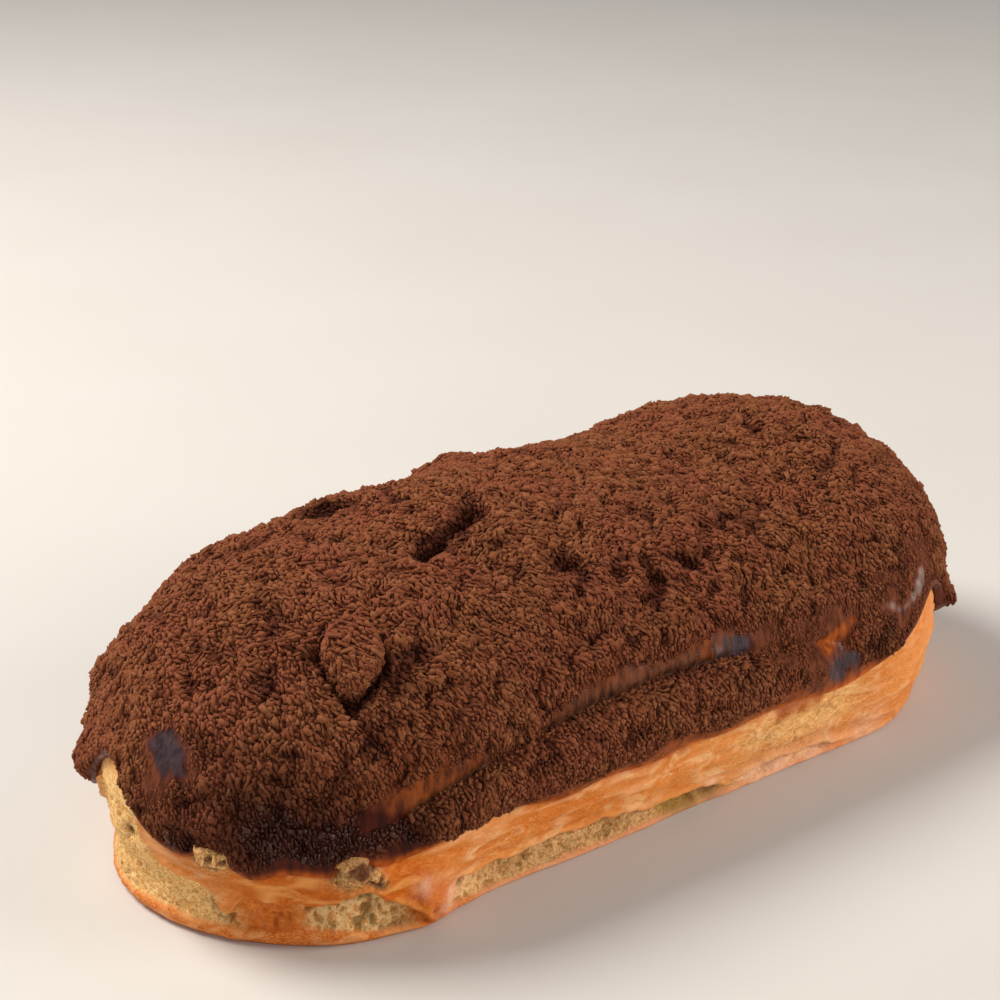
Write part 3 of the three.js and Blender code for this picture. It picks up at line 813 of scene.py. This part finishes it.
def icing_finish():
    finish = Finish("chocolate_icing")
    mix, ramp, times = finish.mix, finish.ramp, finish.times
    blue, amber, wet, strip, dusted, cover = finish.looks("blue amber wet strip dusted cover")
    over_rim, low, shine, orange, rim_glow, red = finish.looks("over_rim low shine orange rim_glow red")
    streaks = ramp(finish.noise(0.9, 4, stretch=(1, 1, 0.3)), 0.25, 0.75)
    speckle = finish.noise(0.5)

    def streaked(dark, light):
        return mix(streaks, dark, light)

    by_rim = finish.math("MAXIMUM", ramp(over_rim, 0.06, 0.32, 1, 0), times(rim_glow, 0.85))
    rim_glaze = mix(rim_glow, streaked((68, 20, 5), (104, 42, 14)), streaked((104, 42, 12), (158, 80, 30)))
    bare_dust = times(times(dusted, ramp(blue, 0.3, 0.9, 1, 0)), ramp(orange, 0.2, 0.8, 1, 0))
    glaze = finish.layers(
        streaked((66, 22, 10), (100, 40, 18)),
        (times(strip, 0.8), streaked((48, 26, 16), (96, 66, 46))),
        (ramp(amber, 0.15, 0.8, 0, 0.95), streaked((74, 29, 8), (138, 68, 23))),
        (ramp(wet, 0.1, 0.6), streaked((36, 7, 3), (70, 16, 5))),
        (times(by_rim, ramp(red, 0.3, 0.7, 1, 0.2)), rim_glaze),
        (times(rim_glow, ramp(over_rim, 0.02, 0.16, 1, 0)), streaked((158, 62, 4), (208, 100, 22))),
        (ramp(orange, 0.15, 1), streaked((128, 54, 10), (176, 90, 32))),
        # Painted reflection: blue-grey on the bare glaze.
        (ramp(blue, 0.3, 1.05), streaked((48, 37, 40), (80, 63, 66))),
        (ramp(bare_dust, 0.15, 0.7, 0, 0.95), streaked((76, 36, 21), (122, 68, 44))),
        # Painted highlights on the bare glaze.
        (ramp(shine, 0.2, 1, 0, 0.9), streaked((112, 90, 80), (172, 152, 144))),
    )
    crumbs = finish.layers(
        mix(ramp(speckle, 0.35, 0.65), (68, 30, 18), (118, 62, 40)),
        # Painted shade: the coat between the crumbs darker where it lies low.
        (ramp(low, 0.35, 0.9, 0, 0.85), (44, 17, 10)),
        (times(wet, 0.8), (46, 14, 8)),
    )
    dull = finish.math("MAXIMUM", cover, times(dusted, 0.9))
    relief = finish.math("ADD", mix(cover, streaks, speckle), finish.noise(0.22, 2))
    inputs = {
        "Base Color": mix(ramp(cover, 0.25, 0.7), glaze, crumbs),
        "Roughness": ramp(dull, 0.1, 0.8, 0.3, 0.95),
        "Specular IOR Level": 0.12,
        "Normal": finish.bump(relief, 0.2, 0.7),
    }
    return finish.done(inputs)


def skin_colour(finish, browner, blotches, strokes, hairs):
    mix, ramp, times = finish.mix, finish.ramp, finish.times
    fold, pale, ridge, front_left, right_end, back = finish.looks("fold pale ridge front_left right_end back")
    broad = ramp(finish.noise(11), 0.35, 0.65)
    streaks = ramp(strokes, 0.3, 0.7)
    return finish.layers(
        mix(broad, (208, 116, 38), (220, 138, 66)),
        (ramp(blotches, 0.52, 0.68, 0, 0.7), (236, 182, 122)),
        (ramp(blotches, 0.3, 0.46, 0.6, 0), (202, 106, 22)),
        (ramp(strokes, 0.52, 0.72, 0, 0.3), (242, 186, 124)),
        (ramp(strokes, 0.34, 0.46, 0.45, 0), (188, 98, 28)),
        # Painted highlight: paler along the folds.
        (times(fold, 0.4), (244, 190, 138)),
        (ramp(hairs, 0.58, 0.72, 0, 0.2), (248, 204, 156)),
        (times(pale, 0.75), mix(streaks, (206, 146, 74), (244, 200, 134))),
        (times(ridge, 0.45), (238, 164, 92)),
        # Browned, and painted shade: the -X front skin deeper and darker where less light falls.
        (times(front_left, 0.85), browner),
        # Painted highlight along the folds of the -X front skin.
        (times(times(fold, front_left), 0.55), (248, 178, 96)),
        # Painted light: deeper orange at the +X end, offsetting the light that falls there.
        (times(right_end, 0.55), mix(streaks, (220, 120, 44), (234, 158, 84))),
        # Painted light: plainer colour on the back, while the front keeps the deeper orange of painted bounce
        # light.
        (times(back, 0.5), mix(strokes, (176, 104, 50), (220, 160, 100))),
    )


def band_colour(finish, browner, blotches, speckle):
    mix, ramp, times = finish.mix, finish.ramp, finish.times
    pore, browned, left_end, rosy = finish.looks("pore browned left_end rosy")
    web = finish.web(1.3, stretch=(1, 1, 0.7))
    flakes = ramp(finish.noise(0.5, stretch=(0.7, 0.7, 1), distortion=1.5), 0.4, 0.6)
    specks = ramp(speckle, 0.35, 0.65)
    return finish.layers(
        mix(specks, (196, 132, 66), (232, 180, 116)),
        (ramp(blotches, 0.45, 0.6, 0, 0.6), (150, 106, 46)),
        (ramp(web, 0.03, 0.2, 0.5, 0), (248, 214, 156)),
        (times(pore, 0.75), (120, 86, 36)),
        # Browned, and painted shade: the -X front band deeper and darker where less light falls.
        (times(browned, 0.85), browner),
        (times(left_end, 0.7), mix(flakes, (212, 150, 72), (252, 214, 148))),
        (times(rosy, 0.55), mix(specks, (126, 88, 42), (204, 148, 94))),
    )


def lip_colour(finish, blotches, hairs):
    ramp, times = finish.ramp, finish.times
    right_end, rosy, back = finish.looks("right_end rosy back")
    return finish.layers(
        finish.mix(ramp(hairs, 0.4, 0.6), (190, 92, 20), (226, 138, 64)),
        (ramp(blotches, 0.5, 0.65, 0, 0.6), (238, 170, 106)),
        # Painted light: deeper orange at the +X end, offsetting the light that falls there.
        (times(right_end, 0.5), (226, 126, 58)),
        (times(rosy, 0.7), (222, 160, 120)),
        # Painted light: plainer colour on the back, while the front keeps the deeper orange of painted bounce
        # light.
        (times(back, 0.4), (206, 142, 86)),
    )


def choux_finish():
    finish = Finish("baked_choux")
    mix, ramp, times = finish.mix, finish.ramp, finish.times
    band, lip, bubble, flap, torn = finish.looks("band lip bubble flap torn")
    white, crack, hole, smeared, under_rim = finish.looks("white crack hole smeared under_rim")
    blotches = finish.noise(3, 4, stretch=(0.6, 0.6, 1), distortion=1.2)
    strokes = finish.noise(0.8, 4, stretch=(0.5, 0.5, 1), distortion=2.5)
    hairs = finish.noise(0.24, 2, stretch=(0.35, 0.35, 1), distortion=2)
    speckle = finish.noise(0.4)
    browner = mix(ramp(strokes, 0.2, 0.8), (176, 72, 0), (216, 112, 12))
    browner = mix(ramp(blotches, 0.52, 0.68, 0, 0.4), browner, (236, 150, 60))
    golden = skin_colour(finish, browner, blotches, strokes, hairs)
    cream = band_colour(finish, browner, blotches, speckle)
    shadow = times(ramp(under_rim, -0.03, 0.08, 0.65, 0), ramp(bubble, 0.2, 0.8, 1, 0))
    colour = finish.layers(
        mix(band, golden, cream),
        (times(bubble, 0.85), mix(ramp(speckle, 0.4, 0.6), (158, 112, 58), (218, 174, 114))),
        (lip, lip_colour(finish, blotches, hairs)),
        (times(flap, 0.8), browner),
        (times(torn, 0.8), mix(speckle, (112, 86, 26), (170, 132, 56))),
        (times(white, 0.7), mix(speckle, (222, 150, 116), (246, 206, 176))),
        (times(crack, 0.8), (104, 84, 46)),
        # Painted shade: dark brown in the holes.
        (times(hole, 0.9), (86, 40, 16)),
        (ramp(smeared, 0.25, 0.9, 0, 0.85), mix(strokes, (134, 54, 6), (184, 94, 30))),
        (shadow, (150, 66, 20)),
    )
    relief = finish.math("ADD", times(strokes, 0.5), times(speckle, 0.3))
    inputs = {
        "Base Color": colour,
        "Roughness": ramp(band, 0, 1, 0.5, 0.8),
        "Specular IOR Level": 0.15,
        "Subsurface Weight": 0.12,
        "Subsurface Radius": (1, 0.5, 0.25),
        "Subsurface Scale": 1.2 * MM,
        "Normal": finish.bump(relief, 0.25, 0.8),
    }
    return finish.done(inputs)


# ---- Crumbs ----
GOLDEN = (1 + 5**0.5) / 2


def grain_form():
    """A grain with the corners of an icosahedron, and its triangles."""
    pairs = [(a, b * GOLDEN) for a in (-1, 1) for b in (-1, 1)]
    form = [(0, a, b) for a, b in pairs] + [(a, b, 0) for a, b in pairs] + [(b, 0, a) for a, b in pairs]
    form = np.array(form) / np.hypot(1, GOLDEN)
    apart = np.linalg.norm(form[:, None] - form, axis=2)
    edge = 1.01 * apart[apart > 0].min()
    faces = []
    for a, b, c in combinations(range(len(form)), 3):
        if max(apart[a, b], apart[b, c], apart[a, c]) < edge:
            outward = np.dot(np.cross(form[b] - form[a], form[c] - form[a]), form[a]) > 0
            faces.append((a, b, c) if outward else (a, c, b))
    return form, np.array(faces)


RING_AT = 0.62  # share of a strand's half length at which its rings lie


def strand_form(sides):
    """A strand with two blunt tips, two rings of this many sides, and its triangles."""
    turns = 2 * np.pi * np.arange(sides) / sides
    rings = [np.stack([np.full(sides, x), np.cos(turns), np.sin(turns)], 1) for x in (-RING_AT, RING_AT)]
    form = np.concatenate([[(-1, 0, 0)], *rings, [(1, 0, 0)]])
    faces = []
    for k in range(sides):
        a, b = 1 + k, 1 + (k + 1) % sides
        c, d = a + sides, b + sides
        faces += [(0, b, a), (a, b, d), (a, d, c), (2 * sides + 1, c, d)]
    return form, np.array(faces)


def splinter_form(sides):
    """A splinter: one ring of this many sides between two tips, and its triangles."""
    turns = 2 * np.pi * (np.arange(sides) + 0.5) / sides
    ring = np.stack([0.3 * np.cos(2 * turns), 1.2 * np.cos(turns), 1.2 * np.sin(turns)], 1)
    form = np.concatenate([[(-1, 0, 0)], ring, [(1, 0, 0)]])
    faces = []
    for k in range(sides):
        a, b = 1 + k, 1 + (k + 1) % sides
        faces += [(0, b, a), (sides + 1, a, b)]
    return form, np.array(faces)


def read(elements, field, count, kind=np.float32):
    values = np.empty(count, kind)
    elements.foreach_get(field, values)
    return values


def surface_spots(piece, count, weight_label):
    """Random places on a piece, spread by area times a look of it: points, normals and looks there."""
    mesh = piece.data
    corners = len(mesh.vertices)
    points = read(mesh.vertices, "co", 3 * corners).reshape(-1, 3).astype(float) / MM + OFF_CENTRE
    normals = read(mesh.vertices, "normal", 3 * corners).reshape(-1, 3).astype(float)
    faces = read(mesh.loops, "vertex_index", len(mesh.loops), np.int32).reshape(-1, 3)
    looks = {}
    for field in mesh.attributes:
        if (field.data_type, field.domain) == ("FLOAT", "POINT"):
            looks[field.name] = read(field.data, "value", corners).astype(float)
    a, b, c = points[faces].transpose(1, 0, 2)
    area = np.linalg.norm(np.cross(b - a, c - a), axis=1) / 2
    reached = np.cumsum(area * looks[weight_label][faces].mean(1))
    wanted = (np.arange(count) + rng.random(count)) / count * reached[-1]
    chosen = faces[np.searchsorted(reached, wanted)]
    shares = rng.dirichlet((1, 1, 1), count)

    def blended(values):
        return np.einsum("nk,nk...->n...", shares, values[chosen])

    return blended(points), blended(normals), {label: blended(values) for label, values in looks.items()}


def unit(vectors):
    return vectors / np.maximum(np.linalg.norm(vectors, axis=1, keepdims=True), 1e-9)


TILT = 0.1  # how far crumbs lean off the slope
UNEVEN = 0.22  # how far their corners differ in reach
RAGGED = 0.12  # how far their corners stray
BEND = 0.6  # how far their tips bend sideways


def scatter(name, form, faces, spots, normals, heading, sizes, sink, attributes, material):
    """Crumbs as one mesh. sizes are half the length, width and height of each, heading is its long way."""
    count, corners = len(spots), len(form)
    upright = unit(normals + TILT * rng.normal(size=(count, 3)))
    along = unit(heading - upright * (heading * upright).sum(1, keepdims=True))
    across = np.cross(upright, along)
    uneven = 1 + UNEVEN * rng.uniform(-1, 1, (count, corners, 1))
    form = form * uneven + RAGGED * rng.normal(size=(count, corners, 3))
    local = form * sizes[:, None]
    local[:, :, 1] += rng.uniform(-BEND, BEND, (count, 1)) * form[:, :, 0] ** 2 * sizes[:, :1]
    points = (spots + normals * (sizes[:, 2:] * (1 - sink)))[:, None]
    for axis, way in enumerate((along, across, upright)):
        points = points + local[:, :, axis, None] * way[:, None]
    faces = faces + corners * np.arange(count)[:, None, None]
    looks = {label: np.repeat(values, corners) for label, values in attributes.items()}
    # foot runs from 0 at each crumb's bottom to 1 at its top; the crumb finish paints shade on the lower part
    # with it.
    looks["foot"] = 0.5 + 0.5 * (form[:, :, 2] / np.abs(form[:, :, 2]).max()).ravel()
    mesh_object(name, points.reshape(-1, 3), faces.reshape(-1, 3), looks, material)


def downhill(normals):
    return unit(normals * normals[:, 2:] - np.array([0, 0, 1.0]))


FLOW = 3.5  # over about this distance crumbs lie alike
LIE = -0.68  # how most crumbs on the top are turned from the length of the loaf
CANDIDATES = 260000
GAP_ON_TOP = 0.5
GAP_ON_SIDES = 0.4
# Kinds of crumbs: name, form and faces, how many at most, half sizes from and to, how far each turns down
# the slope, and how much of its half height lies in the coat.
CRUMB_KINDS = [
    ("cocoa_grains", grain_form(), 9900, (0.32, 0.26, 0.26), (0.6, 0.4, 0.4), 1.5, 0.8),
    ("cocoa_strands", strand_form(3), 16600, (0.42, 0.22, 0.24), (0.8, 0.29, 0.32), 3, 0.75),
    ("cocoa_shreds", splinter_form(4), 24900, (0.34, 0.23, 0.26), (0.66, 0.32, 0.36), 3, 0.7),
]


def spaced_out(spots, gaps):
    """Which spots to keep, so that none lies nearer to an earlier one than its gap."""
    tree = KDTree(len(spots))
    for number, spot in enumerate(spots):
        tree.insert(spot, number)
    tree.balance()
    kept = np.ones(len(spots), bool)
    for number, spot in enumerate(spots):
        if kept[number]:
            for _, other, _ in tree.find_range(spot, gaps[number]):
                if other > number:
                    kept[other] = False
    return kept


def make_crumbs(icing, material):
    spots, normals, looks = surface_spots(icing, CANDIDATES, "sown")
    order = rng.permutation(CANDIDATES)
    gaps = np.interp(normals[order, 2], (0, 1), (GAP_ON_SIDES, GAP_ON_TOP))
    order = order[spaced_out(spots[order], gaps)]
    for name, (form, faces), most, low, high, steer, sink in CRUMB_KINDS:
        chosen, order = order[:most], order[most:]
        count = len(chosen)
        slope = np.clip(1 - normals[chosen, 2:], 0, 1)
        sizes = low + (np.array(high) - low) * rng.random((count, 1)) ** 1.5
        sizes *= rng.uniform(0.85, 1.15, (count, 3)) * (0.4 + 0.6 * looks["cover"][chosen])[:, None]
        sizes *= (1.2 - 0.3 * slope) * np.exp(0.2 * np.clip(rng.normal(size=(count, 1)), -1.5, 1.5))
        turn = LIE + np.pi * 0.6 * noise(spots[chosen], FLOW) + 0.5 * rng.normal(size=count)
        flow = np.stack([np.cos(turn), np.sin(turn), 0.2 * rng.normal(size=count)], 1)
        heading = flow + steer * slope * downhill(normals[chosen])
        attributes = {"tone": rng.random(count)}
        attributes |= {label: looks[label][chosen] for label in ("wet", "low", "amber")}
        upward = unit(normals[chosen])
        scatter(name, form, faces, spots[chosen], upward, heading, sizes, sink, attributes, material)


# ---- Camera, floor and light ----
# Angles in degrees, distance in millimetres from the loaf's middle on the table.
CAMERA = {"azimuth": 40.77, "elevation": 30.32, "distance": 299.57, "pan": -1.22, "tilt": -6.65, "lens": 72}


def heading_at(azimuth, elevation):
    """The way looked, azimuth from +Y towards +X and elevation down from level."""
    level = np.cos(elevation)
    return np.array([np.sin(azimuth) * level, np.cos(azimuth) * level, -np.sin(elevation)])


def make_camera():
    azimuth, elevation = np.radians([CAMERA["azimuth"], CAMERA["elevation"]])
    pan, tilt = np.radians([CAMERA["pan"], CAMERA["tilt"]])
    data = bpy.data.cameras.new("camera")
    data.lens = CAMERA["lens"]
    data.sensor_width = 36
    data.clip_start = 0.01
    camera = bpy.data.objects.new("camera", data)
    camera.location = (-heading_at(azimuth, elevation) * CAMERA["distance"] - OFF_CENTRE) * MM
    look = Vector(heading_at(azimuth + pan, elevation + tilt))
    camera.rotation_euler = look.to_track_quat("-Z", "Y").to_euler()
    bpy.context.scene.collection.objects.link(camera)
    bpy.context.scene.camera = camera


FLOOR_WIDTH = 6  # metres


def make_floor():
    half = FLOOR_WIDTH / 2
    corners = [(-half, -half, 0), (half, -half, 0), (half, half, 0), (-half, half, 0)]
    mesh = bpy.data.meshes.new("floor")
    mesh.from_pydata(corners, [], [(0, 1, 2, 3)])
    finish = Finish("pale_floor")
    colour = finish.mix(finish.noise(60, 2), (206, 200, 192), (212, 207, 200))
    mesh.materials.append(finish.done({"Base Color": colour, "Roughness": 0.7}))
    floor = bpy.data.objects.new("floor", mesh)
    bpy.context.scene.collection.objects.link(floor)


# Soft lights: name, where each stands and how wide it is in metres, its power and colour.
LIGHTS = [
    ("key", (-0.28, 0.42, 0.6), 0.4, 7.2, (1, 0.96, 0.91)),
    ("fill", (-0.5, -0.75, 0.5), 0.8, 2, (0.99, 0.98, 0.97)),
    ("right", (0.55, -0.6, 0.32), 0.5, 5, (1, 0.95, 0.89)),
]


def make_lights():
    for name, place, size, power, colour in LIGHTS:
        data = bpy.data.lights.new(name, "AREA")
        data.shape = "DISK"
        data.size = size
        data.energy = power
        data.color = colour
        light = bpy.data.objects.new(name, data)
        light.location = place
        light.rotation_euler = (-Vector(place)).to_track_quat("-Z", "Y").to_euler()
        bpy.context.scene.collection.objects.link(light)
    world = bpy.data.worlds.new("studio")
    world.use_nodes = True
    background = world.node_tree.nodes["Background"]
    background.inputs["Color"].default_value = (0.9, 0.93, 1, 1)
    background.inputs["Strength"].default_value = 0.26
    bpy.context.scene.world = world
    bpy.context.scene.view_settings.view_transform = "Standard"


make_camera()
make_floor()
make_lights()
shell = make_shell(choux_finish())
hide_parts("choux_shell")
icing = make_icing(icing_finish())
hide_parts("chocolate_icing")
make_crumbs(icing, crumb_finish())
